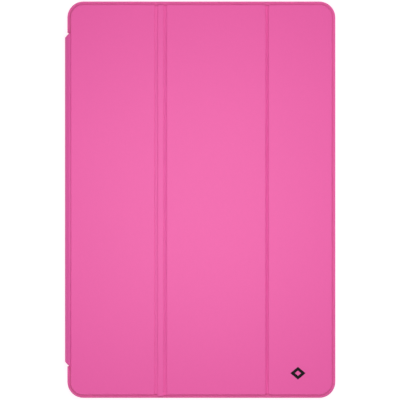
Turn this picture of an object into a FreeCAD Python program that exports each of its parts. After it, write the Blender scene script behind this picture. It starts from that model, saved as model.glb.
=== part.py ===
import FreeCAD, Part
import Sketcher
import math
import os

# Tri-fold folio case for an 11-inch-class tablet, closed, lying on its back.
# X runs across the case from the spine to the free edge, Y along its length, Z up through the
# front cover. The origin is at the middle of the outline, on the surface the case lies on.
# All sizes are in millimetres.

DRIVING_SIZES = [
    ("tablet_width", 168.7, "tablet that the tray holds"),
    ("tablet_length", 257.1, "tablet that the tray holds"),
    ("tablet_thickness", 6.9, "tablet that the tray holds"),
    ("tablet_corner", 7.0, "corner radius of the tablet's pocket"),
    ("tablet_fit", 0.3, "gap round the tablet"),
    ("tablet_slack", 0.1, "gap between the tablet and the lip"),
    ("side_wall", 3.9, "tray wall along the long sides"),
    ("end_wall", 2.15, "tray wall along the short sides"),
    ("back_wall", 1.9, "tray floor"),
    ("lip_height", 0.8, "thickness of the lip that holds the tablet in"),
    ("lip_reach", 1.0, "how far the lip reaches over the tablet"),
    ("shell_corner", 10.6, "outer corner radius of the tray"),
    ("foot_round", 3.0, "round between the tray's back and its sides"),
    ("rim_round", 1.1, "round of the tray's upper outer edge"),
    ("skin", 0.7, "leather thickness"),
    ("board", 1.0, "stiffener board thickness"),
    ("lining", 0.5, "microfibre thickness"),
    ("bond", 0.05, "side gap round a bonded piece"),
    ("cover_inset", 2.3, "step from the tray's outline to the cover's"),
    ("cover_gap", 0.15, "air between the lip and the closed cover"),
    ("edge_round", 0.6, "round of the padded edges of a panel"),
    ("panel_1_width", 56.5, "from the cover's spine side to the first crease"),
    ("strip_width", 5.9, "from the first crease to the second"),
    ("panel_2_width", 67.2, "from the second crease to the third"),
    ("crease_width", 2.0, "leather left free between two boards"),
    ("crease_fit", 0.05, "gap between a crease and the panel that turns on it"),
    ("spine_jut", 1.6, "how far the spine stands out past the tray"),
    ("spine_end_gap", 24.0, "from the tray's end to the spine's end"),
    ("spine_flare", 3.0, "how far the leather reaches past the spine's ends on the back and the cover"),
    ("spine_fit", 0.3, "gap between the spine and the tray"),
    ("front_bend", 3.0, "outer radius of the leather between spine and cover"),
    ("rear_bend", 2.0, "outer radius of the leather between back and spine"),
    ("tab_width", 26.0, "leather flap bonded to the tray's back"),
    ("tab_inset", 0.1, "how far the flap lies below the back's surface"),
    ("tab_corner", 4.0, "corner radius of the flap"),
    ("tab_fit", 0.3, "gap round the flap"),
    ("camera_radius", 6.5, "camera opening"),
    ("camera_from_side", 19.0, "camera centre from the tray's free side"),
    ("camera_from_end", 18.5, "camera centre from the tray's upper end"),
    ("camera_bevel", 0.7, "bevel round the camera opening"),
    ("socket_width", 13.0, "charging socket cut-out"),
    ("socket_height", 5.4, "charging socket cut-out"),
    ("speaker_length", 24.0, "speaker cut-out"),
    ("speaker_spread", 50.0, "speaker centre from the middle of the end"),
    ("slot_height", 4.6, "height of the speaker and button cut-outs"),
    ("slot_corner", 2.0, "corner radius of the cut-outs"),
    ("button_length", 36.0, "button cut-out"),
    ("button_from_end", 43.0, "button cut-out centre from the tray's upper end"),
    ("cut_bevel", 0.5, "bevel round the cut-outs' outer edges"),
    ("magnet_length", 20.0, "bar magnets and stand plates"),
    ("magnet_width", 5.0, "bar magnets and stand plates"),
    ("magnet_thickness", 0.8, "magnets and plates in the boards"),
    ("magnet_fit", 0.1, "gap round a magnet in its seat"),
    ("magnet_spread", 30.0, "magnet centre from the middle of the case"),
    ("magnet_margin", 3.5, "from the cover's edge to the magnets"),
    ("shell_magnet_depth", 1.4, "magnet in the tray's wall"),
    ("wake_radius", 3.0, "disc magnet that wakes the tablet"),
    ("wake_from_end", 45.0, "disc centre from the cover's upper end"),
    ("wake_margin", 8.0, "disc centre from the cover's free edge"),
    ("emblem_width", 10.0, "lozenge badge"),
    ("emblem_height", 8.4, "lozenge badge"),
    ("emblem_band", 2.9, "breadth of the lozenge's band at its side tips"),
    ("emblem_thickness", 0.3, "badge thickness"),
    ("emblem_sink", 0.2, "how deep the badge is let into the leather"),
    ("emblem_fit", 0.05, "gap round the badge"),
    ("emblem_from_end", 14.2, "badge centre from the cover's lower end"),
    ("emblem_from_side", 22.5, "badge centre from the cover's free edge"),
]

PLACES = [
    ("pocket_width", "Sizes.tablet_width + 2 * Sizes.tablet_fit"),
    ("pocket_length", "Sizes.tablet_length + 2 * Sizes.tablet_fit"),
    ("shell_width", "pocket_width + 2 * Sizes.side_wall"),
    ("shell_end", "pocket_length / 2 + Sizes.end_wall"),
    ("shell_mid", "Sizes.spine_jut / 2"),
    ("shell_left", "shell_mid - shell_width / 2"),
    ("shell_right", "shell_mid + shell_width / 2"),
    ("pocket_right", "shell_mid + pocket_width / 2"),
    ("pocket_high", "Sizes.back_wall + Sizes.tablet_thickness + Sizes.tablet_slack"),
    ("shell_high", "pocket_high + Sizes.lip_height"),
    ("port_level", "Sizes.back_wall + Sizes.tablet_thickness / 2"),
    ("cover_low", "shell_high + Sizes.cover_gap"),
    ("lining_high", "cover_low + Sizes.lining"),
    ("board_high", "lining_high + Sizes.board"),
    ("cover_high", "board_high + Sizes.skin"),
    ("magnet_low", "lining_high + (Sizes.board - Sizes.magnet_thickness) / 2"),
    ("cover_left", "shell_left + Sizes.cover_inset"),
    ("cover_right", "shell_right - Sizes.cover_inset"),
    ("cover_end", "shell_end - Sizes.cover_inset"),
    ("cover_corner", "Sizes.shell_corner - Sizes.cover_inset"),
    ("crease_1", "cover_left + Sizes.panel_1_width"),
    ("crease_2", "crease_1 + Sizes.strip_width"),
    ("crease_3", "crease_2 + Sizes.panel_2_width"),
    ("half_crease", "Sizes.crease_width / 2"),
    ("spine_left", "shell_left - Sizes.spine_jut"),
    ("spine_right", "spine_left + Sizes.skin + Sizes.board + Sizes.lining"),
    ("spine_end", "shell_end - Sizes.spine_end_gap"),
    ("spine_low", "Sizes.tab_inset + Sizes.rear_bend"),
    ("spine_high", "cover_high - Sizes.front_bend"),
    ("recess_wall", "spine_right + Sizes.spine_fit"),
    ("tab_end", "spine_end + Sizes.spine_flare"),
    ("recess_end", "tab_end + Sizes.tab_fit"),
    ("tab_right", "shell_left + Sizes.tab_width"),
    ("tab_high", "Sizes.tab_inset + Sizes.skin"),
    ("emblem_x", "cover_right - Sizes.emblem_from_side"),
    ("emblem_y", "Sizes.emblem_from_end - cover_end"),
]

doc = FreeCAD.newDocument("tablet_case")
sizes = doc.addObject("Spreadsheet::Sheet", "Sizes")
places = doc.addObject("Spreadsheet::Sheet", "Places")
nodes = []


def fill_sheets():
    for row, (alias, size, note) in enumerate(DRIVING_SIZES, start=1):
        sizes.set(f"A{row}", alias)
        sizes.set(f"B{row}", str(size))
        sizes.set(f"C{row}", note)
        sizes.setAlias(f"B{row}", alias)
    doc.recompute()
    for row, (alias, formula) in enumerate(PLACES, start=1):
        places.set(f"A{row}", alias)
        places.set(f"B{row}", "=" + formula)
        places.setAlias(f"B{row}", alias)
    doc.recompute()


def measure(formula):
    """The present value of a formula over the two sheets, in millimetres."""
    return float(sizes.evalExpression(formula))


# ---------------------------------------------------------------- sketches and features


def new_body(name):
    body = doc.addObject("PartDesign::Body", name)
    body.Label = name
    nodes.append(body)
    return body


def new_sketch(body, name, role="XY_Plane", lift="0"):
    """A sketch on one of the body's origin planes, moved along its normal by lift."""
    plane = [item for item in body.Origin.OriginFeatures if item.Role == role][0]
    sketch = body.newObject("Sketcher::SketchObject", name)
    sketch.AttachmentSupport = [(plane, "")]
    sketch.MapMode = "FlatFace"
    sketch.setExpression("AttachmentOffset.Base.z", lift)
    return sketch


def bind(sketch, kind, *places_then_formula):
    """Adds one dimension whose value follows a formula."""
    *where, formula = places_then_formula
    index = sketch.addConstraint(Sketcher.Constraint(kind, *where, measure(formula)))
    sketch.setExpression(f"Constraints[{index}]", formula)


def line(sketch, start, end):
    segment = Part.LineSegment(FreeCAD.Vector(*start, 0), FreeCAD.Vector(*end, 0))
    return sketch.addGeometry(segment, False)


def arc(sketch, centre, radius, start_deg, end_deg):
    circle = Part.Circle(FreeCAD.Vector(*centre, 0), FreeCAD.Vector(0, 0, 1), radius)
    curve = Part.ArcOfCircle(circle, math.radians(start_deg), math.radians(end_deg))
    return sketch.addGeometry(curve, False)


def draw_rectangle(sketch, left, right, low, high, left_radius="", right_radius=""):
    """A rectangle bound to four formulas; a side with a radius has both its corners rounded."""
    x_low, x_high, y_low, y_high = [measure(text) for text in (left, right, low, high)]
    r_left = measure(left_radius) if left_radius else 0.0
    r_right = measure(right_radius) if right_radius else 0.0
    bottom = line(sketch, (x_low + r_left, y_low), (x_high - r_right, y_low))
    side_right = line(sketch, (x_high, y_low + r_right), (x_high, y_high - r_right))
    top = line(sketch, (x_high - r_right, y_high), (x_low + r_left, y_high))
    side_left = line(sketch, (x_low, y_high - r_left), (x_low, y_low + r_left))
    corners = [
        (bottom, side_right, right_radius, (x_high - r_right, y_low + r_right), 270),
        (side_right, top, right_radius, (x_high - r_right, y_high - r_right), 0),
        (top, side_left, left_radius, (x_low + r_left, y_high - r_left), 90),
        (side_left, bottom, left_radius, (x_low + r_left, y_low + r_left), 180),
    ]
    for before, after, radius, centre, start_deg in corners:
        if radius:
            bend = arc(sketch, centre, measure(radius), start_deg, start_deg + 90)
            sketch.addConstraint(Sketcher.Constraint("Tangent", before, 2, bend, 1))
            sketch.addConstraint(Sketcher.Constraint("Tangent", bend, 2, after, 1))
            bind(sketch, "Radius", bend, radius)
        else:
            sketch.addConstraint(Sketcher.Constraint("Coincident", before, 2, after, 1))
    for flat in (bottom, top):
        sketch.addConstraint(Sketcher.Constraint("Horizontal", flat))
    for upright in (side_right, side_left):
        sketch.addConstraint(Sketcher.Constraint("Vertical", upright))
    bind(sketch, "DistanceX", -1, 1, side_left, 1, left)
    bind(sketch, "DistanceX", -1, 1, side_right, 1, right)
    bind(sketch, "DistanceY", -1, 1, bottom, 1, low)
    bind(sketch, "DistanceY", -1, 1, top, 1, high)


def draw_circle(sketch, x, y, radius):
    centre = FreeCAD.Vector(measure(x), measure(y), 0)
    ring = sketch.addGeometry(Part.Circle(centre, FreeCAD.Vector(0, 0, 1), measure(radius)), False)
    bind(sketch, "DistanceX", -1, 1, ring, 3, x)
    bind(sketch, "DistanceY", -1, 1, ring, 3, y)
    bind(sketch, "Radius", ring, radius)


def draw_lozenge(sketch, x, y, half_width, half_height):
    """Four corners at the ends of a cross centred on x, y."""
    tips = [
        (f"{x} + ({half_width})", y),
        (x, f"{y} + ({half_height})"),
        (f"{x} - ({half_width})", y),
        (x, f"{y} - ({half_height})"),
    ]
    points = [(measure(tip_x), measure(tip_y)) for tip_x, tip_y in tips]
    sides = [line(sketch, points[i], points[(i + 1) % 4]) for i in range(4)]
    for i in range(4):
        sketch.addConstraint(Sketcher.Constraint("Coincident", sides[i], 2, sides[(i + 1) % 4], 1))
        bind(sketch, "DistanceX", -1, 1, sides[i], 1, tips[i][0])
        bind(sketch, "DistanceY", -1, 1, sides[i], 1, tips[i][1])


def draw_bend(sketch, x, z, outer, inner, flat_end, upward):
    """A quarter bend round x, z that starts level with it on the left and runs into a flat."""
    centre = (measure(x), measure(z))
    r_out = measure(outer)
    r_in = measure(inner)
    end = measure(flat_end)
    sign = 1 if upward else -1
    turn = 90 if upward else 180
    outer_arc = arc(sketch, centre, r_out, turn, turn + 90)
    inner_arc = arc(sketch, centre, r_in, turn, turn + 90)
    outer_flat = line(sketch, (centre[0], centre[1] + sign * r_out), (end, centre[1] + sign * r_out))
    inner_flat = line(sketch, (centre[0], centre[1] + sign * r_in), (end, centre[1] + sign * r_in))
    free_end = line(sketch, (end, centre[1] + sign * r_out), (end, centre[1] + sign * r_in))
    foot = line(sketch, (centre[0] - r_out, centre[1]), (centre[0] - r_in, centre[1]))
    at_flat = 1 if upward else 2
    at_foot = 2 if upward else 1
    sketch.addConstraint(Sketcher.Constraint("Coincident", outer_arc, 3, inner_arc, 3))
    sketch.addConstraint(Sketcher.Constraint("Tangent", outer_arc, at_flat, outer_flat, 1))
    sketch.addConstraint(Sketcher.Constraint("Tangent", inner_arc, at_flat, inner_flat, 1))
    sketch.addConstraint(Sketcher.Constraint("Coincident", outer_flat, 2, free_end, 1))
    sketch.addConstraint(Sketcher.Constraint("Coincident", inner_flat, 2, free_end, 2))
    sketch.addConstraint(Sketcher.Constraint("Coincident", outer_arc, at_foot, foot, 1))
    sketch.addConstraint(Sketcher.Constraint("Coincident", inner_arc, at_foot, foot, 2))
    sketch.addConstraint(Sketcher.Constraint("Horizontal", outer_flat))
    sketch.addConstraint(Sketcher.Constraint("Horizontal", inner_flat))
    sketch.addConstraint(Sketcher.Constraint("Horizontal", outer_arc, 3, outer_arc, at_foot))
    sketch.addConstraint(Sketcher.Constraint("Vertical", free_end))
    sketch.addConstraint(Sketcher.Constraint("Horizontal", foot))
    bind(sketch, "DistanceX", -1, 1, outer_arc, 3, x)
    bind(sketch, "DistanceY", -1, 1, outer_arc, 3, z)
    bind(sketch, "Radius", outer_arc, outer)
    bind(sketch, "Radius", inner_arc, inner)
    bind(sketch, "DistanceX", -1, 1, outer_flat, 2, flat_end)


def pad(body, sketch, length, symmetric=False):
    feature = body.newObject("PartDesign::Pad", sketch.Name + "_pad")
    feature.Profile = sketch
    feature.setExpression("Length", length)
    if symmetric:
        feature.SideType = "Symmetric"
    doc.recompute()
    return feature


def pocket(body, sketch, length, along_normal=False):
    """Cuts against the sketch's normal, or along it, and makes sure that something was cut."""
    before = body.Shape.Volume
    feature = body.newObject("PartDesign::Pocket", sketch.Name + "_cut")
    feature.Profile = sketch
    feature.setExpression("Length", length)
    feature.Reversed = along_normal
    doc.recompute()
    if body.Shape.Volume >= before:
        raise RuntimeError(sketch.Name + " cuts nothing")
    return feature


def edges_where(shape, test):
    """Names of the edges whose every sampled point passes the test."""
    names = []
    for index, edge in enumerate(shape.Edges, start=1):
        samples = edge.discretize(5)
        if all(test(point) for point in samples):
            names.append(f"Edge{index}")
    return names


def round_edges(body, test, radius, kind="PartDesign::Fillet"):
    """Rounds or bevels every edge of the body that passes the test."""
    base = body.Tip
    names = edges_where(body.Shape, test)
    feature = body.newObject(kind, base.Name + "_edges")
    feature.Base = (base, names)
    size = "Radius" if kind == "PartDesign::Fillet" else "Size"
    feature.setExpression(size, radius)
    doc.recompute()
    return feature


def near(value, target, tolerance=1e-4):
    return abs(value - target) < tolerance


# ---------------------------------------------------------------- tray


OVERSHOOT = "1"


def cut_end_opening(body, name, x, width, height, upper):
    """An opening through the lower or the upper end wall, centred on x."""
    lift = f"(Places.shell_end + {OVERSHOOT})"
    sketch = new_sketch(body, name, "XZ_Plane", f"-{lift}" if upper else lift)
    draw_rectangle(
        sketch,
        f"{x} - {width} / 2",
        f"{x} + {width} / 2",
        f"Places.port_level - {height} / 2",
        f"Places.port_level + {height} / 2",
        "Sizes.slot_corner",
        "Sizes.slot_corner",
    )
    pocket(body, sketch, f"{OVERSHOOT} + Sizes.end_wall + Sizes.lip_reach", along_normal=upper)


def cut_button_opening(body):
    """The opening along the free side through which the tablet's buttons are pressed."""
    sketch = new_sketch(body, "button_opening", "YZ_Plane", f"Places.shell_right + {OVERSHOOT}")
    middle = "(Places.shell_end - Sizes.button_from_end)"
    draw_rectangle(
        sketch,
        f"{middle} - Sizes.button_length / 2",
        f"{middle} + Sizes.button_length / 2",
        "Places.port_level - Sizes.slot_height / 2",
        "Places.port_level + Sizes.slot_height / 2",
        "Sizes.slot_corner",
        "Sizes.slot_corner",
    )
    pocket(body, sketch, f"{OVERSHOOT} + Sizes.side_wall + Sizes.lip_reach")


def bevel_openings(body):
    """Bevels the outer edges of the cut-outs in the two end walls and in the free side."""
    end = measure("Places.shell_end")
    side = measure("Places.shell_right")
    low = measure("Sizes.back_wall")
    high = measure("Places.pocket_high")

    def on_outer_face(point):
        return (near(abs(point.y), end) or near(point.x, side)) and low < point.z < high

    round_edges(body, on_outer_face, "Sizes.cut_bevel", "PartDesign::Chamfer")


def cut_magnet_seats(body):
    """Two slots in the inner face of the free side's wall."""
    for number, sign in ((1, ""), (2, "-")):
        sketch = new_sketch(body, f"magnet_seat_{number}", "YZ_Plane",
                            "Places.pocket_right + Sizes.shell_magnet_depth + Sizes.magnet_fit")
        middle = f"{sign}Sizes.magnet_spread"
        draw_rectangle(
            sketch,
            f"{middle} - Sizes.magnet_length / 2 - Sizes.magnet_fit",
            f"{middle} + Sizes.magnet_length / 2 + Sizes.magnet_fit",
            "Places.port_level - Sizes.magnet_width / 2 - Sizes.magnet_fit",
            "Places.port_level + Sizes.magnet_width / 2 + Sizes.magnet_fit",
        )
        pocket(body, sketch, "Sizes.shell_magnet_depth + Sizes.magnet_fit + Sizes.lip_reach")


def make_rear_shell():
    """The moulded tray that grips the tablet."""
    body = new_body("rear_shell")
    outline = new_sketch(body, "shell_outline")
    draw_rectangle(outline, "Places.shell_left", "Places.shell_right", "-Places.shell_end",
                   "Places.shell_end", "Sizes.shell_corner", "Sizes.shell_corner")
    pad(body, outline, "Places.shell_high")
    round_edges(body, lambda point: near(point.z, 0), "Sizes.foot_round")
    high = measure("Places.shell_high")
    round_edges(body, lambda point: near(point.z, high), "Sizes.rim_round")

    hollow = new_sketch(body, "tablet_pocket", lift="Places.pocket_high")
    draw_rectangle(hollow, "Places.shell_mid - Places.pocket_width / 2", "Places.pocket_right",
                   "-Places.pocket_length / 2", "Places.pocket_length / 2",
                   "Sizes.tablet_corner", "Sizes.tablet_corner")
    pocket(body, hollow, "Places.pocket_high - Sizes.back_wall")
    mouth = new_sketch(body, "pocket_mouth", lift="Places.shell_high")
    draw_rectangle(mouth, "Places.shell_mid - Places.pocket_width / 2 + Sizes.lip_reach",
                   "Places.pocket_right - Sizes.lip_reach",
                   "Sizes.lip_reach - Places.pocket_length / 2",
                   "Places.pocket_length / 2 - Sizes.lip_reach",
                   "Sizes.tablet_corner - Sizes.lip_reach", "Sizes.tablet_corner - Sizes.lip_reach")
    pocket(body, mouth, "Sizes.lip_height")

    side_recess = new_sketch(body, "spine_recess")
    draw_rectangle(side_recess, "Places.spine_left", "Places.recess_wall",
                   "-Places.recess_end", "Places.recess_end")
    pocket(body, side_recess, "Places.shell_high", along_normal=True)
    back_recess = new_sketch(body, "tab_recess")
    draw_rectangle(back_recess, "Places.spine_left", "Places.tab_right + Sizes.tab_fit",
                   "-Places.recess_end", "Places.recess_end",
                   right_radius="Sizes.tab_corner + Sizes.tab_fit")
    pocket(body, back_recess, "Places.tab_high", along_normal=True)

    camera = new_sketch(body, "camera_opening")
    draw_circle(camera, "Places.shell_right - Sizes.camera_from_side",
                "Places.shell_end - Sizes.camera_from_end", "Sizes.camera_radius")
    pocket(body, camera, "Sizes.back_wall", along_normal=True)
    camera_x = measure("Places.shell_right - Sizes.camera_from_side")
    camera_y = measure("Places.shell_end - Sizes.camera_from_end")
    camera_r = measure("Sizes.camera_radius")

    def on_camera_rim(point):
        reach = math.hypot(point.x - camera_x, point.y - camera_y)
        return near(point.z, 0) and near(reach, camera_r)

    round_edges(body, on_camera_rim, "Sizes.camera_bevel", "PartDesign::Chamfer")

    cut_end_opening(body, "socket_opening", "Places.shell_mid", "Sizes.socket_width",
                    "Sizes.socket_height", upper=False)
    for end_name, upper in (("lower", False), ("upper", True)):
        for side_name, sign in (("left", "-"), ("right", "+")):
            cut_end_opening(body, f"speaker_{end_name}_{side_name}",
                            f"Places.shell_mid {sign} Sizes.speaker_spread",
                            "Sizes.speaker_length", "Sizes.slot_height", upper)
    cut_button_opening(body)
    bevel_openings(body)
    cut_magnet_seats(body)


def make_back_tab():
    """The flap of the cover's leather that is bonded into the tray's back."""
    body = new_body("back_tab_skin")
    outline = new_sketch(body, "tab_outline", lift="Sizes.tab_inset")
    draw_rectangle(outline, "Places.recess_wall", "Places.tab_right", "-Places.tab_end",
                   "Places.tab_end", right_radius="Sizes.tab_corner")
    pad(body, outline, "Sizes.skin")


# ---------------------------------------------------------------- bars and plates


def make_bar_pair(name, low_x, length_x, low_z, height_z):
    """Two equal bars, one each side of the middle of the case, kept as separate solids."""
    bars = []
    for number, sign in ((1, ""), (2, "-")):
        bar = doc.addObject("Part::Box", f"{name}_{number}")
        bar.setExpression("Length", length_x)
        bar.setExpression("Width", "Sizes.magnet_length")
        bar.setExpression("Height", height_z)
        bar.setExpression("Placement.Base.x", low_x)
        bar.setExpression("Placement.Base.y", f"{sign}Sizes.magnet_spread - Sizes.magnet_length / 2")
        bar.setExpression("Placement.Base.z", low_z)
        bars.append(bar)
    pair = doc.addObject("Part::Compound", name)
    pair.Links = bars
    pair.Label = name
    nodes.append(pair)


def make_wake_magnet():
    """The disc magnet that the tablet's sensor reads."""
    disc = doc.addObject("Part::Cylinder", "wake_magnet")
    disc.Label = "wake_magnet"
    disc.setExpression("Radius", "Sizes.wake_radius")
    disc.setExpression("Height", "Sizes.magnet_thickness")
    disc.setExpression("Placement.Base.x", "Places.cover_right - Sizes.wake_margin")
    disc.setExpression("Placement.Base.y", "Places.cover_end - Sizes.wake_from_end")
    disc.setExpression("Placement.Base.z", "Places.magnet_low")
    nodes.append(disc)


# ---------------------------------------------------------------- laminated cover


def inset(formula, distance, inwards):
    """The formula moved by a distance, to the right when inwards is +1 and to the left at -1."""
    return f"{formula} {'+' if inwards > 0 else '-'} {distance}"


def make_panel(name, left, right, left_free=False, right_free=False):
    """Leather folded round a stiffener board and closed with a lining; free sides have corners."""
    corner = "Places.cover_corner"
    inner_corner = "Places.cover_corner - Sizes.skin"
    gap = "(Sizes.skin + Sizes.bond)"
    bonded_corner = f"Places.cover_corner - {gap}"

    skin = new_body(f"{name}_skin")
    outline = new_sketch(skin, f"{name}_outline", lift="Places.cover_low")
    draw_rectangle(outline, left, right, "-Places.cover_end", "Places.cover_end",
                   corner if left_free else "", corner if right_free else "")
    pad(skin, outline, "Sizes.lining + Sizes.board + Sizes.skin")
    high = measure("Places.cover_high")
    round_edges(skin, lambda point: near(point.z, high), "Sizes.edge_round")
    seat = new_sketch(skin, f"{name}_board_seat", lift="Places.cover_low")
    draw_rectangle(seat, inset(left, "Sizes.skin", 1), inset(right, "Sizes.skin", -1),
                   "Sizes.skin - Places.cover_end", "Places.cover_end - Sizes.skin",
                   inner_corner if left_free else "", inner_corner if right_free else "")
    pocket(skin, seat, "Sizes.lining + Sizes.board", along_normal=True)
    lining_left = inset(left, "Sizes.skin", 1) if left_free else left
    lining_right = inset(right, "Sizes.skin", -1) if right_free else right
    lining_seat = new_sketch(skin, f"{name}_lining_seat", lift="Places.cover_low")
    draw_rectangle(lining_seat, lining_left, lining_right,
                   "Sizes.skin - Places.cover_end", "Places.cover_end - Sizes.skin",
                   inner_corner if left_free else "", inner_corner if right_free else "")
    pocket(skin, lining_seat, "Sizes.lining", along_normal=True)

    board = new_body(f"{name}_board")
    board_outline = new_sketch(board, f"{name}_board_outline", lift="Places.lining_high")
    draw_rectangle(board_outline, inset(left, gap, 1), inset(right, gap, -1),
                   f"{gap} - Places.cover_end", f"Places.cover_end - {gap}",
                   bonded_corner if left_free else "", bonded_corner if right_free else "")
    pad(board, board_outline, "Sizes.board")

    lining = new_body(f"{name}_lining")
    lining_outline = new_sketch(lining, f"{name}_lining_outline", lift="Places.cover_low")
    draw_rectangle(lining_outline, inset(left, gap, 1) if left_free else left,
                   inset(right, gap, -1) if right_free else right,
                   f"{gap} - Places.cover_end", f"Places.cover_end - {gap}",
                   bonded_corner if left_free else "", bonded_corner if right_free else "")
    pad(lining, lining_outline, "Sizes.lining")
    return skin, board


def cut_bar_seats(board, name, low_x):
    """Windows in a board for a pair of bars."""
    for number, sign in ((1, ""), (2, "-")):
        sketch = new_sketch(board, f"{name}_{number}", lift="Places.board_high")
        middle = f"{sign}Sizes.magnet_spread"
        draw_rectangle(sketch, f"{low_x} - Sizes.magnet_fit",
                       f"{low_x} + Sizes.magnet_width + Sizes.magnet_fit",
                       f"{middle} - Sizes.magnet_length / 2 - Sizes.magnet_fit",
                       f"{middle} + Sizes.magnet_length / 2 + Sizes.magnet_fit")
        pocket(board, sketch, "Sizes.board")


def make_crease(number):
    """Leather and microfibre that join two panels where the cover folds."""
    middle = f"Places.crease_{number}"
    left = f"{middle} - Places.half_crease"
    right = f"{middle} + Places.half_crease - Sizes.crease_fit"
    end = f"Places.cover_end - Sizes.skin - Sizes.bond"
    layers = (("skin", "Places.lining_high", "Sizes.skin"), ("lining", "Places.cover_low", "Sizes.lining"))
    for layer, low, thickness in layers:
        body = new_body(f"crease_{number}_{layer}")
        outline = new_sketch(body, f"crease_{number}_{layer}_outline", lift=low)
        draw_rectangle(outline, left, right, f"-({end})", end)
        pad(body, outline, thickness)


def make_bend(name, outer, inner, x, z, flat_end, upward):
    """Leather or microfibre that goes round a corner of the spine."""
    body = new_body(name)
    profile = new_sketch(body, f"{name}_profile", "XZ_Plane")
    draw_bend(profile, x, z, outer, inner, flat_end, upward)
    pad(body, profile, "2 * Places.spine_end", symmetric=True)


def make_spine():
    """Leather folded round the ends of a narrow board, with a lining towards the tray."""
    ends = ("-Places.spine_end", "Places.spine_end")
    inner_ends = ("Sizes.skin - Places.spine_end", "Places.spine_end - Sizes.skin")
    bonded_end = "Places.spine_end - Sizes.skin - Sizes.bond"
    height = "Places.spine_high - Places.spine_low"

    skin = new_body("spine_skin")
    outline = new_sketch(skin, "spine_outline", lift="Places.spine_low")
    draw_rectangle(outline, "Places.spine_left", "Places.spine_right", *ends)
    pad(skin, outline, height)
    seat = new_sketch(skin, "spine_seat", lift="Places.spine_high")
    draw_rectangle(seat, "Places.spine_left + Sizes.skin", "Places.spine_right + Sizes.skin", *inner_ends)
    pocket(skin, seat, height)

    board = new_body("spine_board")
    board_outline = new_sketch(board, "spine_board_outline", lift="Places.spine_low")
    draw_rectangle(board_outline, "Places.spine_left + Sizes.skin",
                   "Places.spine_right - Sizes.lining", f"-({bonded_end})", bonded_end)
    pad(board, board_outline, height)

    lining = new_body("spine_lining")
    lining_outline = new_sketch(lining, "spine_lining_outline", lift="Places.spine_low")
    draw_rectangle(lining_outline, "Places.spine_right - Sizes.lining", "Places.spine_right",
                   f"-({bonded_end})", bonded_end)
    pad(lining, lining_outline, height)


def make_emblem(panel_skin):
    """A plain lozenge badge let into the leather of the third panel."""
    half_width = "Sizes.emblem_width / 2"
    half_height = "Sizes.emblem_height / 2"
    inner_width = f"{half_width} - Sizes.emblem_band"
    inner_height = f"({inner_width}) * Sizes.emblem_height / Sizes.emblem_width"
    seat = new_sketch(panel_skin, "emblem_seat", lift="Places.cover_high")
    draw_lozenge(seat, "Places.emblem_x", "Places.emblem_y", f"{half_width} + Sizes.emblem_fit",
                 f"{half_height} + Sizes.emblem_fit")
    draw_lozenge(seat, "Places.emblem_x", "Places.emblem_y", f"{inner_width} - Sizes.emblem_fit",
                 f"{inner_height} - Sizes.emblem_fit")
    pocket(panel_skin, seat, "Sizes.emblem_sink")
    body = new_body("emblem")
    outline = new_sketch(body, "emblem_outline", lift="Places.cover_high - Sizes.emblem_sink")
    draw_lozenge(outline, "Places.emblem_x", "Places.emblem_y", half_width, half_height)
    draw_lozenge(outline, "Places.emblem_x", "Places.emblem_y", inner_width, inner_height)
    pad(body, outline, "Sizes.emblem_thickness")


# ---------------------------------------------------------------- the case


def make_case():
    make_rear_shell()
    make_bar_pair("shell_magnets", "Places.pocket_right", "Sizes.shell_magnet_depth",
                  "Places.port_level - Sizes.magnet_width / 2", "Sizes.magnet_width")
    make_back_tab()

    rear_x = "Places.spine_left + Sizes.rear_bend"
    make_bend("rear_crease_skin", "Sizes.rear_bend", "Sizes.rear_bend - Sizes.skin", rear_x,
              "Places.spine_low", "Places.recess_wall", upward=False)
    make_spine()
    front_x = "Places.spine_left + Sizes.front_bend"
    front_flat_end = "Places.cover_left - Sizes.crease_fit"
    lining_radius = "Sizes.front_bend - Sizes.skin"
    make_bend("front_crease_skin", "Sizes.front_bend", lining_radius, front_x,
              "Places.spine_high", front_flat_end, upward=True)
    make_bend("front_crease_lining", lining_radius, f"{lining_radius} - Sizes.lining", front_x,
              "Places.spine_high", front_flat_end, upward=True)

    _, first_board = make_panel("panel_1", "Places.cover_left", "Places.crease_1 - Places.half_crease",
                                left_free=True)
    make_panel("fold_strip", "Places.crease_1 + Places.half_crease",
               "Places.crease_2 - Places.half_crease")
    make_panel("panel_2", "Places.crease_2 + Places.half_crease",
               "Places.crease_3 - Places.half_crease")
    third_skin, third_board = make_panel("panel_3", "Places.crease_3 + Places.half_crease",
                                         "Places.cover_right", right_free=True)
    for number in (1, 2, 3):
        make_crease(number)

    plates_x = "Places.cover_left + Sizes.magnet_margin"
    cut_bar_seats(first_board, "plate_seat", plates_x)
    make_bar_pair("stand_plates", plates_x, "Sizes.magnet_width", "Places.magnet_low",
                  "Sizes.magnet_thickness")
    magnets_x = "Places.cover_right - Sizes.magnet_margin - Sizes.magnet_width"
    cut_bar_seats(third_board, "closing_seat", magnets_x)
    make_bar_pair("closing_magnets", magnets_x, "Sizes.magnet_width", "Places.magnet_low",
                  "Sizes.magnet_thickness")
    wake_seat = new_sketch(third_board, "wake_seat", lift="Places.board_high")
    draw_circle(wake_seat, "Places.cover_right - Sizes.wake_margin",
                "Places.cover_end - Sizes.wake_from_end", "Sizes.wake_radius + Sizes.magnet_fit")
    pocket(third_board, wake_seat, "Sizes.board")
    make_wake_magnet()
    make_emblem(third_skin)
    doc.recompute()


def check_model():
    """Stops before anything is written if an object failed or a sub-part isn't sound."""
    for item in doc.Objects:
        if "Invalid" in item.State or "Error" in item.State:
            raise RuntimeError(f"{item.Label} failed: {item.State}")
    for node in nodes:
        if node.Shape.isNull() or not node.Shape.isValid():
            raise RuntimeError(f"{node.Label} has no sound shape")


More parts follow.
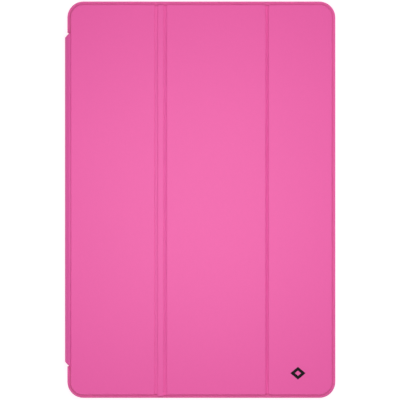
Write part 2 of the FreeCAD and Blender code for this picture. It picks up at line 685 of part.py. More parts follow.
def write_parts():
    os.makedirs("parts", exist_ok=True)
    for node in nodes:
        node.Shape.exportStep(f"parts/{node.Label}.step")
        print(f"{node.Label}: {len(node.Shape.Solids)} solid(s), {node.Shape.Volume:.1f} mm3")


fill_sheets()
make_case()
check_model()
write_parts()
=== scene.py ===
import math

import bmesh
import bpy
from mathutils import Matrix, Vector


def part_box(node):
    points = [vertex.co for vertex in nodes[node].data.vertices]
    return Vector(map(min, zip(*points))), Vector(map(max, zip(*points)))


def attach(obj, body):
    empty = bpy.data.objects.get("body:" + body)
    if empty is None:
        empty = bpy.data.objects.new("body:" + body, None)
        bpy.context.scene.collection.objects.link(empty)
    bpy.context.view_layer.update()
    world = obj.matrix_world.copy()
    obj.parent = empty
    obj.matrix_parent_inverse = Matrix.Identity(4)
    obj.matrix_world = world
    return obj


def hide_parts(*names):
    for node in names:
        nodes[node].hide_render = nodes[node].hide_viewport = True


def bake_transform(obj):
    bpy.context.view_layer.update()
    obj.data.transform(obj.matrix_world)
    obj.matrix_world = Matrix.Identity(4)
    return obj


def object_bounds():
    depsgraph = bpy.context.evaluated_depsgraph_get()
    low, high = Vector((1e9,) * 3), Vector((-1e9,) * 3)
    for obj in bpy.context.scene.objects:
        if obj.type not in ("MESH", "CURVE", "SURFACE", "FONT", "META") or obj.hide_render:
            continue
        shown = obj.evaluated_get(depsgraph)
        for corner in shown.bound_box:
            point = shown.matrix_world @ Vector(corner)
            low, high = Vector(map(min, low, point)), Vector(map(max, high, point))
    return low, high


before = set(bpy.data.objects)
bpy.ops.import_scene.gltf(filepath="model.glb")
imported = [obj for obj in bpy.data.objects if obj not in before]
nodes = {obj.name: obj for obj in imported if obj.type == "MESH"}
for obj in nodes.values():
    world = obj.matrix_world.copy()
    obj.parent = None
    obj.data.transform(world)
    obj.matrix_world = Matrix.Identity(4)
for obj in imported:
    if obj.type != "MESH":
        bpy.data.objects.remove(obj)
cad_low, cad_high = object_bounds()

scene = bpy.context.scene


# ------------------------------------------------------------------ camera, light and floor
# The closed case is seen from straight above through a long lens, with its spine on the left.
# A softbox close above the case gives the leather a wide, faint glow in its middle,
# two side lights draw the edges, and the floor is a plain white sweep.

VIEW_DISTANCE = 2.6
VIEW_WIDTH = 0.2640
SENSOR = 0.036
VIEW_OFFSET = Vector((-0.0001, -0.0002))
FLOOR_DROP = 0.0002
FLOOR_SIZE = 8
SKY_STRENGTH = 0.40
FLOOR_GREY = 0.5
FLOOR_GLOW = 0.74

bpy.ops.object.select_all(action="DESELECT")
bpy.ops.object.camera_add(location=(VIEW_OFFSET.x, VIEW_OFFSET.y, cad_high.z + VIEW_DISTANCE))
camera = bpy.context.object
camera.name = "camera"
camera.data.sensor_width = SENSOR * 1000
camera.data.lens = SENSOR * 1000 * VIEW_DISTANCE / VIEW_WIDTH
camera.data.clip_end = 20
scene.camera = camera
scene.view_settings.view_transform = "Standard"


def softbox(name, place, width, power):
    """A square area light that faces the middle of the case."""
    bpy.ops.object.light_add(type="AREA", location=place)
    lamp = bpy.context.object
    lamp.name = name
    lamp.data.size = width
    lamp.data.energy = power
    lamp.rotation_euler = (-Vector(place)).to_track_quat("-Z", "Y").to_euler()
    lamp.visible_camera = False


softbox("top_softbox", (0.0, 0.0, 0.30), 0.20, 0.36)
softbox("right_softbox", (0.8, 0.8, 0.9), 0.8, 5.0)
softbox("left_softbox", (-0.8, -0.9, 0.9), 0.9, 3.4)

world = bpy.data.worlds.new("studio")
world.use_nodes = True
sky = world.node_tree.nodes["Background"]
sky.inputs["Color"].default_value = (1.0, 1.0, 1.0, 1.0)
sky.inputs["Strength"].default_value = SKY_STRENGTH
scene.world = world

bpy.ops.mesh.primitive_plane_add(size=FLOOR_SIZE, location=(0, 0, cad_low.z - FLOOR_DROP))
floor = bpy.context.object
floor.name = "floor"
floor_paint = bpy.data.materials.new("floor_paint")
floor_paint.use_nodes = True
floor_shader = floor_paint.node_tree.nodes["Principled BSDF"]
floor_shader.inputs["Base Color"].default_value = (FLOOR_GREY, FLOOR_GREY, FLOOR_GREY, 1.0)
floor_shader.inputs["Roughness"].default_value = 0.9
floor_shader.inputs["Emission Color"].default_value = (1.0, 1.0, 1.0, 1.0)
floor_shader.inputs["Emission Strength"].default_value = FLOOR_GLOW
floor.data.materials.append(floor_paint)


# ------------------------------------------------------------------ tray
# A tray moulded in one shot from hard pink plastic, which snaps round the tablet. Its outside
# has a fine spark-eroded texture, and two nickel-plated bar magnets are pressed into slots in
# the inner face of its free side.


def new_material(name, roughness, metallic=0.0):
    """A material with its shader and the piece's own coordinates, ready for its pattern."""
    material = bpy.data.materials.new(name)
    material.use_nodes = True
    shader = material.node_tree.nodes["Principled BSDF"]
    shader.inputs["Roughness"].default_value = roughness
    shader.inputs["Metallic"].default_value = metallic
    place = material.node_tree.nodes.new("ShaderNodeTexCoord")
    return material, shader, place.outputs["Object"]


def new_group(name, inputs, outputs):
    """An empty node group with float inputs (name, default) and outputs (name, kind)."""
    group = bpy.data.node_groups.new(name, "ShaderNodeTree")
    group.interface.new_socket("Vector", in_out="INPUT", socket_type="NodeSocketVector")
    for label, default in inputs:
        socket = group.interface.new_socket(label, in_out="INPUT", socket_type="NodeSocketFloat")
        socket.default_value = default
    for label, kind in outputs:
        group.interface.new_socket(label, in_out="OUTPUT", socket_type=kind)
    return group, group.nodes.new("NodeGroupInput"), group.nodes.new("NodeGroupOutput")


def noise(tree, vector, scale, detail=2.0, roughness=0.5):
    """A noise texture's value; scale is a number or a socket."""
    texture = tree.nodes.new("ShaderNodeTexNoise")
    texture.inputs["Detail"].default_value = detail
    texture.inputs["Roughness"].default_value = roughness
    tree.links.new(vector, texture.inputs["Vector"])
    if isinstance(scale, (int, float)):
        texture.inputs["Scale"].default_value = scale
    else:
        tree.links.new(scale, texture.inputs["Scale"])
    return texture.outputs["Fac"]


def remap(tree, value, low, high, from_low=0.0, from_high=1.0):
    """A value carried from one range to another."""
    node = tree.nodes.new("ShaderNodeMapRange")
    node.inputs["From Min"].default_value = from_low
    node.inputs["From Max"].default_value = from_high
    node.inputs["To Min"].default_value = low
    node.inputs["To Max"].default_value = high
    tree.links.new(value, node.inputs["Value"])
    return node.outputs["Result"]


def combine(tree, operation, first, second):
    """One math node on two sockets or numbers."""
    node = tree.nodes.new("ShaderNodeMath")
    node.operation = operation
    for value, socket in ((first, node.inputs[0]), (second, node.inputs[1])):
        if isinstance(value, (int, float)):
            socket.default_value = value
        else:
            tree.links.new(value, socket)
    return node.outputs["Value"]


def make_tone_group():
    """Colour that drifts slowly over a piece and is mottled finely, as dyed stock is."""
    group, entry, leave = new_group(
        "dyed_tone",
        [("Drift Scale", 14.0), ("Mottle Scale", 900.0), ("Drift", 0.03), ("Mottle", 0.03)],
        [("Value", "NodeSocketFloat")],
    )
    drift = remap(group, noise(group, entry.outputs["Vector"], entry.outputs["Drift Scale"]), -1, 1)
    mottle = remap(group, noise(group, entry.outputs["Vector"], entry.outputs["Mottle Scale"], 3), -1, 1)
    drift_part = combine(group, "MULTIPLY", drift, entry.outputs["Drift"])
    mottle_part = combine(group, "MULTIPLY", mottle, entry.outputs["Mottle"])
    both = combine(group, "ADD", drift_part, mottle_part)
    group.links.new(combine(group, "ADD", both, 1.0), leave.inputs["Value"])
    return group


dyed_tone = make_tone_group()


def place_group(material, group, vector, **values):
    """Places a node group in a material, fed with the piece's coordinates."""
    node = material.node_tree.nodes.new("ShaderNodeGroup")
    node.node_tree = group
    material.node_tree.links.new(vector, node.inputs["Vector"])
    for label, value in values.items():
        node.inputs[label.replace("_", " ")].default_value = value
    return node


def tint(material, shader, colour, tone, edge_colour=None, edge=None):
    """Base colour times a tone, drawn towards another colour where a mask is high."""
    tree = material.node_tree
    scale = tree.nodes.new("ShaderNodeMix")
    scale.data_type = "RGBA"
    scale.blend_type = "MULTIPLY"
    scale.inputs["Factor"].default_value = 1.0
    scale.inputs["A"].default_value = (*colour, 1.0)
    if edge is not None:
        blend = tree.nodes.new("ShaderNodeMix")
        blend.data_type = "RGBA"
        blend.inputs["A"].default_value = (*colour, 1.0)
        blend.inputs["B"].default_value = (*edge_colour, 1.0)
        tree.links.new(edge, blend.inputs["Factor"])
        tree.links.new(blend.outputs["Result"], scale.inputs["A"])
    tree.links.new(tone, scale.inputs["B"])
    tree.links.new(scale.outputs["Result"], shader.inputs["Base Color"])


def raise_grain(material, shader, height, depth, strength=1.0):
    """Turns a height from 0 to 1 into relief of a depth in metres."""
    bump = material.node_tree.nodes.new("ShaderNodeBump")
    bump.inputs["Distance"].default_value = depth
    bump.inputs["Strength"].default_value = strength
    material.node_tree.links.new(height, bump.inputs["Height"])
    material.node_tree.links.new(bump.outputs["Normal"], shader.inputs["Normal"])


TRAY_PINK = (0.86, 0.118, 0.40)
NICKEL = (0.62, 0.61, 0.58)


def make_tray_plastic():
    """Pink plastic with a spark-eroded skin and faint flow marks."""
    material, shader, place = new_material("tray_plastic", 0.46)
    tree = material.node_tree
    tone = place_group(material, dyed_tone, place, Drift_Scale=9.0, Mottle_Scale=2500.0,
                       Drift=0.015, Mottle=0.02)
    tint(material, shader, TRAY_PINK, tone.outputs["Value"])
    pits = noise(tree, place, 4200.0, 2.0)
    tree.links.new(remap(tree, pits, 0.40, 0.54), shader.inputs["Roughness"])
    raise_grain(material, shader, pits, 0.00002, 0.5)
    shader.inputs["IOR"].default_value = 1.5
    return material


def paint(node_name, material):
    """Gives a CAD node its finish."""
    mesh = nodes[node_name].data
    mesh.materials.clear()
    mesh.materials.append(material)


def make_plated_metal():
    """Nickel plate with faint polishing marks."""
    material, shader, place = new_material("nickel_plate", 0.25, 1.0)
    tree = material.node_tree
    tone = place_group(material, dyed_tone, place, Drift_Scale=60.0, Mottle_Scale=1500.0,
                       Drift=0.04, Mottle=0.03)
    tint(material, shader, NICKEL, tone.outputs["Value"])
    marks = noise(tree, place, 1800.0, 4.0, 0.7)
    tree.links.new(remap(tree, marks, 0.16, 0.40), shader.inputs["Roughness"])
    raise_grain(material, shader, marks, 0.000005, 0.3)
    return material


tray_plastic = make_tray_plastic()
nickel_plate = make_plated_metal()
paint("rear_shell", tray_plastic)
paint("shell_magnets", nickel_plate)


# ------------------------------------------------------------------ back flap and rear bend
# The cover's leather starts as a flap bonded into a recess in the tray's back. It is one piece
# of pink polyurethane leather, 0.7 mm thick, cut with rounded corners, and it rolls round the
# tray's lower edge to the spine, where its ends are cut at 45 degrees.

SKIN = 0.0007
BEND_STEPS = 12
SPINE_FLARE = 0.003
EDGE_EASE = 0.00014
SMOOTH_BELOW = math.radians(32)
NEARLY = 1e-5
TAB_CORNER = 0.004
TAB_CORNER_STEPS = 10
LEATHER_PINK = (0.87, 0.104, 0.397)
# Painted shade: the darker pink that grooves and rolled edges are drawn towards, and how far.
PAINTED_SHADE_PINK = (0.74, 0.092, 0.35)
PAINTED_SHADE_SHARE = 0.5


def pick(piece, kind, test):
    """Selects the vertices, edges or faces of a mesh in edit mode whose corners all pass."""
    mesh = bmesh.from_edit_mesh(piece.data)
    bpy.context.tool_settings.mesh_select_mode = [kind == "VERT", kind == "EDGE", kind == "FACE"]
    for group in (mesh.verts, mesh.edges, mesh.faces):
        for item in group:
            item.select = False
    if kind == "VERT":
        chosen = [vertex for vertex in mesh.verts if test(vertex.co)]
    else:
        source = mesh.edges if kind == "EDGE" else mesh.faces
        chosen = [item for item in source if all(test(vertex.co) for vertex in item.verts)]
    for item in chosen:
        item.select = True
    mesh.select_flush_mode()
    bmesh.update_edit_mesh(piece.data)


def close_to(value, target, tolerance=2e-6):
    return abs(value - target) < tolerance


def start_strip(name, start, finish, half_length):
    """A flat strip between two points of the case's section, left in edit mode."""
    run = finish - start
    middle = (start + finish) / 2
    bpy.ops.object.select_all(action="DESELECT")
    bpy.ops.mesh.primitive_plane_add(size=1, location=middle,
                                     rotation=(0, -math.atan2(run.z, run.x), 0))
    strip = bpy.context.object
    strip.name = name
    strip.data.name = name
    strip.scale = (run.length, 2 * half_length, 1)
    bpy.ops.object.transform_apply(location=True, rotation=True, scale=True)
    bpy.ops.object.mode_set(mode="EDIT")
    return strip


def spin_edge(strip, edge_point, centre):
    """Rolls the strip's edge at a point through a quarter turn round a centre."""
    pick(strip, "EDGE", lambda p: close_to(p.x, edge_point.x) and close_to(p.z, edge_point.z))
    bpy.ops.mesh.spin(steps=BEND_STEPS, angle=-math.pi / 2, center=centre, axis=(0, 1, 0))


def thicken(strip, thickness, outward):
    """Gives an open sheet its thickness on the side away from outward."""
    bpy.ops.mesh.select_all(action="SELECT")
    bpy.ops.mesh.remove_doubles(threshold=1e-6)
    bpy.ops.mesh.normals_make_consistent(inside=False)
    bpy.ops.object.mode_set(mode="OBJECT")
    facing = sum(face.normal.dot(outward) * face.area for face in strip.data.polygons)
    wall = strip.modifiers.new("wall", "SOLIDIFY")
    wall.thickness = thickness
    wall.offset = math.copysign(1, -facing)
    bpy.ops.object.modifier_apply(modifier="wall")
    bpy.ops.object.mode_set(mode="EDIT")
    bpy.ops.mesh.select_all(action="SELECT")
    bpy.ops.mesh.normals_make_consistent(inside=False)
    bpy.ops.object.mode_set(mode="OBJECT")


def ease_edges(piece, width, degrees=40, segments=2):
    """Rounds the sharp edges of a finished mesh and shades it smooth."""
    ease = piece.modifiers.new("ease", "BEVEL")
    ease.width = width
    ease.segments = segments
    ease.limit_method = "ANGLE"
    ease.angle_limit = math.radians(degrees)
    bpy.ops.object.modifier_apply(modifier="ease")
    bpy.ops.object.shade_smooth_by_angle(angle=SMOOTH_BELOW)


def cut_across(places, axis):
    """Cuts the whole mesh in edit mode by planes square to an axis."""
    for place in places:
        bpy.ops.mesh.select_all(action="SELECT")
        bpy.ops.mesh.bisect(plane_co=axis * place, plane_no=axis)


def flare_ends(strip, half_length, outer_x, flare):
    """Cuts the strip's ends at 45 degrees, longer away from the spine's outer face."""
    for vertex in strip.data.vertices:
        if abs(vertex.co.y) > half_length - NEARLY:
            extra = min(flare, max(0.0, vertex.co.x - outer_x))
            vertex.co.y += math.copysign(extra, vertex.co.y)


def make_grain_group():
    """Fine pebbled grain: small rounded cells with narrow valleys, and finer pores on them."""
    group, entry, leave = new_group(
        "leather_grain",
        [("Cell Scale", 2300.0), ("Pore Scale", 9000.0)],
        [("Height", "NodeSocketFloat"), ("Valley", "NodeSocketFloat")],
    )
    cells = group.nodes.new("ShaderNodeTexVoronoi")
    cells.feature = "SMOOTH_F1"
    cells.inputs["Smoothness"].default_value = 0.6
    group.links.new(entry.outputs["Vector"], cells.inputs["Vector"])
    group.links.new(entry.outputs["Cell Scale"], cells.inputs["Scale"])
    crowns = remap(group, cells.outputs["Distance"], 1.0, 0.0, 0.15, 0.75)
    pores = noise(group, entry.outputs["Vector"], entry.outputs["Pore Scale"], 2.0)
    height = combine(group, "ADD", combine(group, "MULTIPLY", crowns, 0.8),
                     combine(group, "MULTIPLY", pores, 0.2))
    group.links.new(height, leave.inputs["Height"])
    group.links.new(remap(group, crowns, 1.0, 0.0, 0.0, 0.45), leave.inputs["Valley"])
    return group


leather_grain = make_grain_group()


def make_leather():
    """Pink polyurethane leather, satin, with painted shade that darkens it in its grooves and on its
    rolled edges.
    """
    material, shader, place = new_material("cover_leather", 0.5)
    tree = material.node_tree
    tone = place_group(material, dyed_tone, place, Drift_Scale=11.0, Mottle_Scale=700.0,
                       Drift=0.018, Mottle=0.022)
    grain = place_group(material, leather_grain, place)
    # Painted shade: the colour is drawn towards a darker pink where the stored mask is high, in the
    # grooves and on the rolls.
    painted_shade = tree.nodes.new("ShaderNodeAttribute")
    painted_shade.attribute_name = "painted_shade"
    edge = combine(tree, "MULTIPLY", painted_shade.outputs["Fac"], PAINTED_SHADE_SHARE)
    tint(material, shader, LEATHER_PINK, tone.outputs["Value"], PAINTED_SHADE_PINK, edge)
    rough = remap(tree, grain.outputs["Valley"], 0.41, 0.54)
    tree.links.new(rough, shader.inputs["Roughness"])
    raise_grain(material, shader, grain.outputs["Height"], 0.00004, 0.55)
    shader.inputs["IOR"].default_value = 1.46
    return material


cover_leather = make_leather()


def set_painted_shade(piece, measure):
    """Stores the painted shade, 0 to 1, at each point: how far the colour is drawn towards the darker
    pink.
    """
    layer = piece.data.attributes.new("painted_shade", "FLOAT", "POINT")
    for index, vertex in enumerate(piece.data.vertices):
        layer.data[index].value = measure(vertex.co)


tab_low, tab_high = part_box("back_tab_skin")
rear_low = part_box("rear_crease_skin")[0]
spine_low, spine_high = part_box("spine_skin")
rear_radius = spine_low.z - rear_low.z
rear_centre = Vector((spine_low.x + rear_radius, 0, spine_low.z))


def make_back_flap():
    """The bonded flap and the roll that carries it to the spine."""
    flap_edge = Vector((tab_high.x, 0, tab_low.z))
    roll_start = Vector((rear_centre.x, 0, tab_low.z))
    flap = start_strip("back_flap_leather", flap_edge, roll_start, spine_high.y)
    pick(flap, "VERT", lambda p: close_to(p.x, tab_high.x))
    bpy.ops.mesh.bevel(offset=TAB_CORNER, segments=TAB_CORNER_STEPS, affect="VERTICES")
    spin_edge(flap, roll_start, rear_centre)
    thicken(flap, SKIN, Vector((0, 0, -1)))
    flare_ends(flap, spine_high.y, spine_low.x, SPINE_FLARE)
    ease_edges(flap, EDGE_EASE)
    # Painted shade: the whole roll round the tray's lower edge is painted darker.
    set_painted_shade(flap, lambda p: 1.0 if p.x < rear_centre.x else 0.0)
    flap.data.materials.append(cover_leather)
    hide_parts("back_tab_skin", "rear_crease_skin")
    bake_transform(flap)


make_back_flap()


# ------------------------------------------------------------------ spine and front bend
# The spine is a narrow board between the same leather and a microfibre lining. The leather
# rolls over the tray's rim to the front cover, and its ends are cut at 45 degrees like the
# flap's. The lining covers the board's inner face and meets the leather above the board.

front_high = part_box("front_crease_skin")[1]
front_radius = front_high.z - spine_high.z
front_centre = Vector((spine_low.x + front_radius, 0, spine_high.z))
cover_edge = front_high.x
MEETING_TURN = math.radians(55)
# Where the painted shade starts, below the foot of the front roll.
ROLL_SHADE_START = 0.35


def widen_bend(sheet, lift):
    """Draws the roll away from its centre, from nothing at the spine to all of lift."""
    for vertex in sheet.data.vertices:
        arm = vertex.co - front_centre
        if arm.z <= 0:
            continue
        if arm.x > -1e-6:
            vertex.co.z += lift
            continue
        share = min(1.0, math.atan2(arm.z, -arm.x) / MEETING_TURN)
        arm.y = 0
        vertex.co += arm.normalized() * lift * share * share * (3 - 2 * share)


def make_bend_sheet(name, outer_x, thickness, half_length, flare=0.0, lift=0.0):
    """Leather or lining that stands up the spine and rolls over to the cover's edge."""
    foot = Vector((outer_x, 0, spine_low.z))
    shoulder = Vector((outer_x, 0, spine_high.z))
    sheet = start_strip(name, foot, shoulder, half_length)
    spin_edge(sheet, shoulder, front_centre)
    top = front_centre + Vector((0, 0, front_centre.x - outer_x))
    pick(sheet, "EDGE", lambda p: close_to(p.x, top.x, NEARLY) and close_to(p.z, top.z, NEARLY))
    bpy.ops.mesh.extrude_region_move(TRANSFORM_OT_translate={"value": (cover_edge - top.x, 0, 0)})
    bpy.ops.object.mode_set(mode="OBJECT")
    widen_bend(sheet, lift)
    bpy.ops.object.mode_set(mode="EDIT")
    thicken(sheet, thickness, Vector((-1, 0, 1)))
    flare_ends(sheet, half_length, outer_x, flare)
    ease_edges(sheet, EDGE_EASE)
    return sheet


def rolled(place):
    """How far up the front roll a point lies, 0 at its foot and 1 at the cover's face."""
    return (place.z - spine_high.z) / front_radius


def make_spine_leather():
    """The spine's outer skin and the roll that joins it to the front cover."""
    skin = make_bend_sheet("spine_leather", spine_low.x, SKIN, spine_high.y, SPINE_FLARE)
    # Painted shade, growing up the spine's face and full from part way round the front roll to the
    # cover's edge.
    set_painted_shade(skin, lambda p: min(1.0, max(0.0, rolled(p) + ROLL_SHADE_START)))
    skin.data.materials.append(cover_leather)
    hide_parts("spine_skin", "front_crease_skin")
    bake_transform(skin)


def make_spine_ends():
    """The leather turned over the two ends of the spine's board."""
    inner = spine_low.x + SKIN
    size = Vector((spine_high.x - inner, SKIN, spine_high.z - spine_low.z))
    bpy.ops.object.select_all(action="DESELECT")
    bpy.ops.mesh.primitive_cube_add(
        size=1, location=(inner + size.x / 2, spine_high.y - size.y / 2, spine_low.z + size.z / 2))
    ends = bpy.context.object
    ends.name = "spine_end_leather"
    ends.data.name = "spine_end_leather"
    ends.scale = size
    bpy.ops.object.transform_apply(location=True, rotation=True, scale=True)
    mirror = ends.modifiers.new("other_end", "MIRROR")
    mirror.use_axis = (False, True, False)
    mirror.use_mirror_merge = False
    bpy.ops.object.modifier_apply(modifier="other_end")
    bpy.ops.object.mode_set(mode="EDIT")
    bpy.ops.mesh.select_all(action="SELECT")
    bpy.ops.mesh.normals_make_consistent(inside=False)
    bpy.ops.object.mode_set(mode="OBJECT")
    ease_edges(ends, EDGE_EASE)
    # Painted shade: the turned ends are painted darker all over.
    set_painted_shade(ends, lambda p: 1.0)
    ends.data.materials.append(cover_leather)
    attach(ends, "spine")


NAP_PINK = (0.74, 0.13, 0.34)
BOARD_GREY = (0.42, 0.39, 0.35)


def make_microfibre_group():
    """Short nap: soft tufts under very fine fibres."""
    group, entry, leave = new_group(
        "nap",
        [("Tuft Scale", 1300.0), ("Fibre Scale", 11000.0)],
        [("Height", "NodeSocketFloat"), ("Shade", "NodeSocketFloat")],
    )
    tufts = noise(group, entry.outputs["Vector"], entry.outputs["Tuft Scale"], 3.0, 0.6)
    fibres = noise(group, entry.outputs["Vector"], entry.outputs["Fibre Scale"], 2.0, 0.7)
    height = combine(group, "ADD", combine(group, "MULTIPLY", tufts, 0.45),
                     combine(group, "MULTIPLY", fibres, 0.55))
    group.links.new(height, leave.inputs["Height"])
    group.links.new(remap(group, height, 0.90, 1.08, 0.3, 0.7), leave.inputs["Shade"])
    return group


def make_microfibre():
    """Pink microfibre with a short brushed nap."""
    material, shader, place = new_material("microfibre", 0.95)
    tree = material.node_tree
    tone = place_group(material, dyed_tone, place, Drift_Scale=20.0, Mottle_Scale=500.0,
                       Drift=0.04, Mottle=0.03)
    nap = place_group(material, make_microfibre_group(), place)
    shade = combine(tree, "MULTIPLY", tone.outputs["Value"], nap.outputs["Shade"])
    tint(material, shader, NAP_PINK, shade)
    raise_grain(material, shader, nap.outputs["Height"], 0.00006, 0.7)
    shader.inputs["Sheen Weight"].default_value = 0.35
    shader.inputs["Sheen Roughness"].default_value = 0.45
    shader.inputs["Specular IOR Level"].default_value = 0.25
    return material


def make_board_stock():
    """Grey pressed fibre board."""
    material, shader, place = new_material("fibre_board", 0.9)
    tree = material.node_tree
    tone = place_group(material, dyed_tone, place, Drift_Scale=30.0, Mottle_Scale=1200.0,
                       Drift=0.05, Mottle=0.10)
    tint(material, shader, BOARD_GREY, tone.outputs["Value"])
    raise_grain(material, shader, noise(tree, place, 2400.0, 4.0, 0.7), 0.00004, 0.5)
    return material


microfibre = make_microfibre()
fibre_board = make_board_stock()


def make_spine_lining():
    """Microfibre on the side of the spine that faces the tray."""
    low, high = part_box("spine_lining")
    bend_low, bend_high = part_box("front_crease_lining")
    lift = low.x - bend_low.x
    lining = make_bend_sheet("spine_lining_cloth", low.x, high.x - low.x, high.y, lift=lift)
    lining.data.materials.append(microfibre)
    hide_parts("spine_lining", "front_crease_lining")
    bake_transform(lining)


make_spine_leather()
make_spine_ends()
make_spine_lining()
paint("spine_board", fibre_board)


# ------------------------------------------------------------------ front cover
# Four stiff boards lie side by side under one sheet of leather, which is turned down round
# their edges. Between the boards the leather is pressed down into a groove and bends there.
# The first groove is wide and shallow, the second narrower, and the third deep and sharp.

COVER_CORNER = 0.0083
EDGE_ROLL = 0.00045
BRINK_SHARE = 0.4
SUPPORT = 0.00015
FACE_STEP = 0.032
CREASE_CORNER = 0.0007
STRIP_REACH = 0.0009
CORNER_STEPS = 16
ROLL_STEPS = 5
WEB_STEPS = 16
TUCK = 0.00025
BEYOND = 0.003
FIRST_SHARE = 1e-4
LINING_GROOVE = 0.0002


def make_slab(name, low, high, left_radius, right_radius):
    """A flat slab between two corners, its left and right corners rounded; ends in edit mode."""
    bpy.ops.object.select_all(action="DESELECT")
    bpy.ops.mesh.primitive_plane_add(
        size=1, location=((low.x + high.x) / 2, (low.y + high.y) / 2, low.z))
    slab = bpy.context.object
    slab.name = name
    slab.data.name = name
    slab.scale = (high.x - low.x, high.y - low.y, 1)
    bpy.ops.object.transform_apply(location=True, rotation=True, scale=True)
    bpy.ops.object.mode_set(mode="EDIT")
    for radius, side in ((left_radius, low.x), (right_radius, high.x)):
        if radius:
            pick(slab, "VERT", lambda p: close_to(p.x, side))
            bpy.ops.mesh.bevel(offset=radius, segments=CORNER_STEPS, affect="VERTICES")
    bpy.ops.mesh.select_all(action="SELECT")
    bpy.ops.mesh.extrude_region_move(TRANSFORM_OT_translate={"value": (0, 0, high.z - low.z)})
    bpy.ops.mesh.select_all(action="SELECT")
    bpy.ops.mesh.normals_make_consistent(inside=False)
    return slab


def carve(piece, cutter):
    """Takes the cutter's space out of a piece and removes the cutter."""
    bpy.ops.object.mode_set(mode="OBJECT")
    bpy.ops.object.select_all(action="DESELECT")
    piece.select_set(True)
    bpy.context.view_layer.objects.active = piece
    cut = piece.modifiers.new("cut", "BOOLEAN")
    cut.operation = "DIFFERENCE"
    cut.object = cutter
    cut.solver = "EXACT"
    bpy.ops.object.modifier_apply(modifier="cut")
    bpy.data.objects.remove(cutter)


def extend_web(piece, side, reach, low_z, steps=WEB_STEPS):
    """Draws the wall at one side out into a strip of its own, cut into steps that can bend."""
    bpy.ops.object.mode_set(mode="EDIT")
    pick(piece, "FACE", lambda p: close_to(p.x, side) and p.z > low_z - 2e-6)
    bpy.ops.mesh.extrude_region_move(TRANSFORM_OT_translate={"value": (reach, 0, 0)})
    cut_across([side + reach * step / steps for step in range(1, steps)], Vector((1, 0, 0)))
    bpy.ops.object.mode_set(mode="OBJECT")


def groove_level(share, shoulder, valley, breadth):
    """Height under the cover's face across a groove: up to a shoulder, then down to its line."""
    off_middle = min(1.0, abs(2 * share - 1))
    brink = -EDGE_ROLL * BRINK_SHARE
    if off_middle > breadth:
        climb = (1 - off_middle) / (1 - breadth)
        return brink + climb * (-shoulder - brink)
    fall = 0.5 + 0.5 * math.cos(math.pi * off_middle / breadth)
    return -shoulder - fall * (valley - shoulder)


def roll_upper_edges(slab, low, high, left_free, right_free):
    """Rolls the upper edges, softly at the cover's outside and tightly along the grooves."""
    weights = slab.data.attributes.new("bevel_weight_edge", "FLOAT", "EDGE")
    points = slab.data.vertices
    for edge in slab.data.edges:
        ends = [points[index].co for index in edge.vertices]
        if not all(close_to(end.z, high.z) for end in ends):
            continue
        at_left = all(close_to(end.x, low.x) for end in ends) and not left_free
        at_right = all(close_to(end.x, high.x) for end in ends) and not right_free
        weights.data[edge.index].value = BRINK_SHARE if at_left or at_right else 1.0
    roll = slab.modifiers.new("roll", "BEVEL")
    roll.width = EDGE_ROLL
    roll.segments = ROLL_STEPS
    roll.limit_method = "WEIGHT"
    bpy.ops.object.modifier_apply(modifier="roll")


def make_panel_leather(panel, parent, child, groove, left_free=False, right_free=False):
    """One board's leather, hollow below for the board, with the groove that follows it."""
    low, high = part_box(f"{panel}_skin")
    board_low, board_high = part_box(f"{panel}_board")
    left_corner = COVER_CORNER if left_free else CREASE_CORNER
    right_corner = COVER_CORNER if right_free else CREASE_CORNER
    leather = make_slab(f"{panel}_leather", low, high, left_corner, right_corner)
    bpy.ops.object.mode_set(mode="OBJECT")
    roll_upper_edges(leather, low, high, left_free, right_free)
    bpy.ops.object.mode_set(mode="EDIT")
    pick(leather, "FACE", lambda p: close_to(p.z, high.z))
    bpy.ops.mesh.inset(thickness=SUPPORT)
    cut_across([FACE_STEP * step for step in range(-3, 4)], Vector((0, 1, 0)))
    bpy.ops.object.mode_set(mode="OBJECT")

    inner_corners = (left_corner - SKIN if left_free else 0, right_corner - SKIN if right_free else 0)
    room_low = Vector((low.x + SKIN if left_free else low.x - BEYOND, low.y + SKIN, low.z - BEYOND))
    room_high = Vector((high.x - SKIN if right_free else high.x + BEYOND, high.y - SKIN, board_low.z))
    carve(leather, make_slab("lining_room", room_low, room_high, *inner_corners))
    board_room_low = Vector((low.x + SKIN, low.y + SKIN, low.z - BEYOND))
    board_room_high = Vector((high.x - SKIN, high.y - SKIN, board_high.z))
    carve(leather, make_slab("board_room", board_room_low, board_room_high, *inner_corners))

    brink = high.z - EDGE_ROLL * BRINK_SHARE
    if child:
        reach = crease_width + TUCK
        extend_web(leather, high.x, reach, board_low.z)
        for vertex in leather.data.vertices:
            share = (vertex.co.x - high.x) / reach
            if share > FIRST_SHARE:
                top = high.z + groove_level(share, *groove)
                floor_z = board_low.z
                height = (vertex.co.z - floor_z) / (brink - floor_z)
                vertex.co.z = floor_z + height * (top - floor_z)
                if child == "fold_strip" and vertex.co.y < 0:
                    vertex.co.y -= min(1.0, share) * STRIP_REACH
    if parent == "fold_strip":
        # The strip's leather is cut a little longer at its lower end than the panels'.
        for vertex in leather.data.vertices:
            if vertex.co.y < low.y + 2 * SKIN:
                vertex.co.y -= STRIP_REACH
    bpy.ops.object.shade_smooth_by_angle(angle=SMOOTH_BELOW)

    def measure(place):
        """How deep a point lies in the groove, which sets its painted shade; the turned outer edges get
        none.
        """
        at_left = left_free and place.x < low.x + 2 * SKIN
        at_right = right_free and place.x > high.x - 2 * SKIN
        if at_left or at_right or abs(place.y) > high.y - 2 * SKIN:
            return 0.0
        return min(1.0, (high.z - place.z) / EDGE_ROLL)

    set_painted_shade(leather, measure)
    leather.data.materials.append(cover_leather)
    replaced = [f"{panel}_skin"]
    if child:
        replaced.append(f"crease_{list(grooves).index(panel) + 1}_skin")
        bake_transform(leather)
    else:
        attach(leather, parent)
    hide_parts(*replaced)


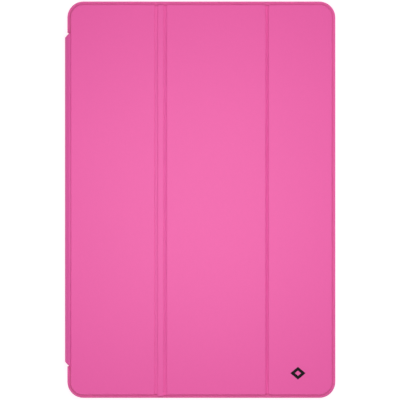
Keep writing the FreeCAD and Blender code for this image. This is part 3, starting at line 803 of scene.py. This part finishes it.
def make_lining_cloth(name, first, last, crease, left_free=False, right_free=False):
    """Microfibre from one board to another, with the strip between them that bends."""
    crease_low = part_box(f"{crease}_lining")[0]
    left = min(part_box(f"{first}_lining")[0].x, crease_low.x)
    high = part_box(f"{last}_lining")[1]
    low = Vector((left, -high.y, crease_low.z))
    corner = COVER_CORNER - SKIN
    cloth = make_slab(name, low, high, corner if left_free else 0, corner if right_free else 0)
    start = crease_low.x
    cut_across([start + crease_width * step / WEB_STEPS for step in range(WEB_STEPS + 1)],
               Vector((1, 0, 0)))
    bpy.ops.object.mode_set(mode="OBJECT")
    for vertex in cloth.data.vertices:
        share = (vertex.co.x - start) / crease_width
        if close_to(vertex.co.z, low.z) and 0 < share < 1:
            vertex.co.z += LINING_GROOVE * math.sin(math.pi * share) ** 2
    bpy.ops.object.shade_smooth_by_angle(angle=SMOOTH_BELOW)
    cloth.data.materials.append(microfibre)
    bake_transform(cloth)
    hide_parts(f"{first}_lining", f"{last}_lining", f"{crease}_lining")


crease_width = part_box("fold_strip_skin")[0].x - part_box("panel_1_skin")[1].x
grooves = {
    "panel_1": ("panel_1", "fold_strip", (0.00010, 0.00024, 0.95)),
    "fold_strip": ("fold_strip", "panel_2", (0.00010, 0.00042, 0.62)),
    "panel_2": ("panel_2", "panel_3", (0.00018, 0.00070, 0.85)),
}
for panel, (parent, child, groove) in grooves.items():
    make_panel_leather(panel, parent, child, groove, left_free=panel == "panel_1")
    paint(f"{panel}_board", fibre_board)
make_panel_leather("panel_3", "panel_3", "", (), right_free=True)
paint("panel_3_board", fibre_board)

make_lining_cloth("panel_1_lining_cloth", "panel_1", "fold_strip", "crease_1",
                  left_free=True)
make_lining_cloth("panel_2_lining_cloth", "panel_2", "panel_2", "crease_2")
make_lining_cloth("panel_3_lining_cloth", "panel_3", "panel_3", "crease_3",
                  right_free=True)


# ------------------------------------------------------------------ magnets, plates and badge
# Bar magnets and a disc magnet lie in windows of the boards, with thin steel plates for them
# to grip when the cover is folded. A small gloss black badge, a plain open lozenge, is let
# into the leather of the last panel.


STEEL = (0.55, 0.56, 0.58)
LACQUER_BLACK = (0.005, 0.003, 0.005)


def make_steel():
    """Bright rolled steel with marks along its length."""
    material, shader, place = new_material("rolled_steel", 0.35, 1.0)
    tree = material.node_tree
    tone = place_group(material, dyed_tone, place, Drift_Scale=50.0, Mottle_Scale=2000.0,
                       Drift=0.03, Mottle=0.04)
    tint(material, shader, STEEL, tone.outputs["Value"])
    along = tree.nodes.new("ShaderNodeMapping")
    along.inputs["Scale"].default_value = (40.0, 1.0, 1.0)
    tree.links.new(place, along.inputs["Vector"])
    marks = noise(tree, along.outputs["Vector"], 150.0, 3.0)
    tree.links.new(remap(tree, marks, 0.28, 0.48), shader.inputs["Roughness"])
    return material


def make_badge_lacquer():
    """Gloss black lacquer with a faint orange peel."""
    material, shader, place = new_material("badge_lacquer", 0.22)
    tree = material.node_tree
    tone = place_group(material, dyed_tone, place, Drift_Scale=200.0, Mottle_Scale=2000.0,
                       Drift=0.1, Mottle=0.1)
    tint(material, shader, LACQUER_BLACK, tone.outputs["Value"])
    shader.inputs["Specular IOR Level"].default_value = 0.2
    raise_grain(material, shader, noise(tree, place, 1200.0), 0.00001, 0.3)
    return material


paint("stand_plates", make_steel())
paint("closing_magnets", nickel_plate)
paint("wake_magnet", nickel_plate)
paint("emblem", make_badge_lacquer())
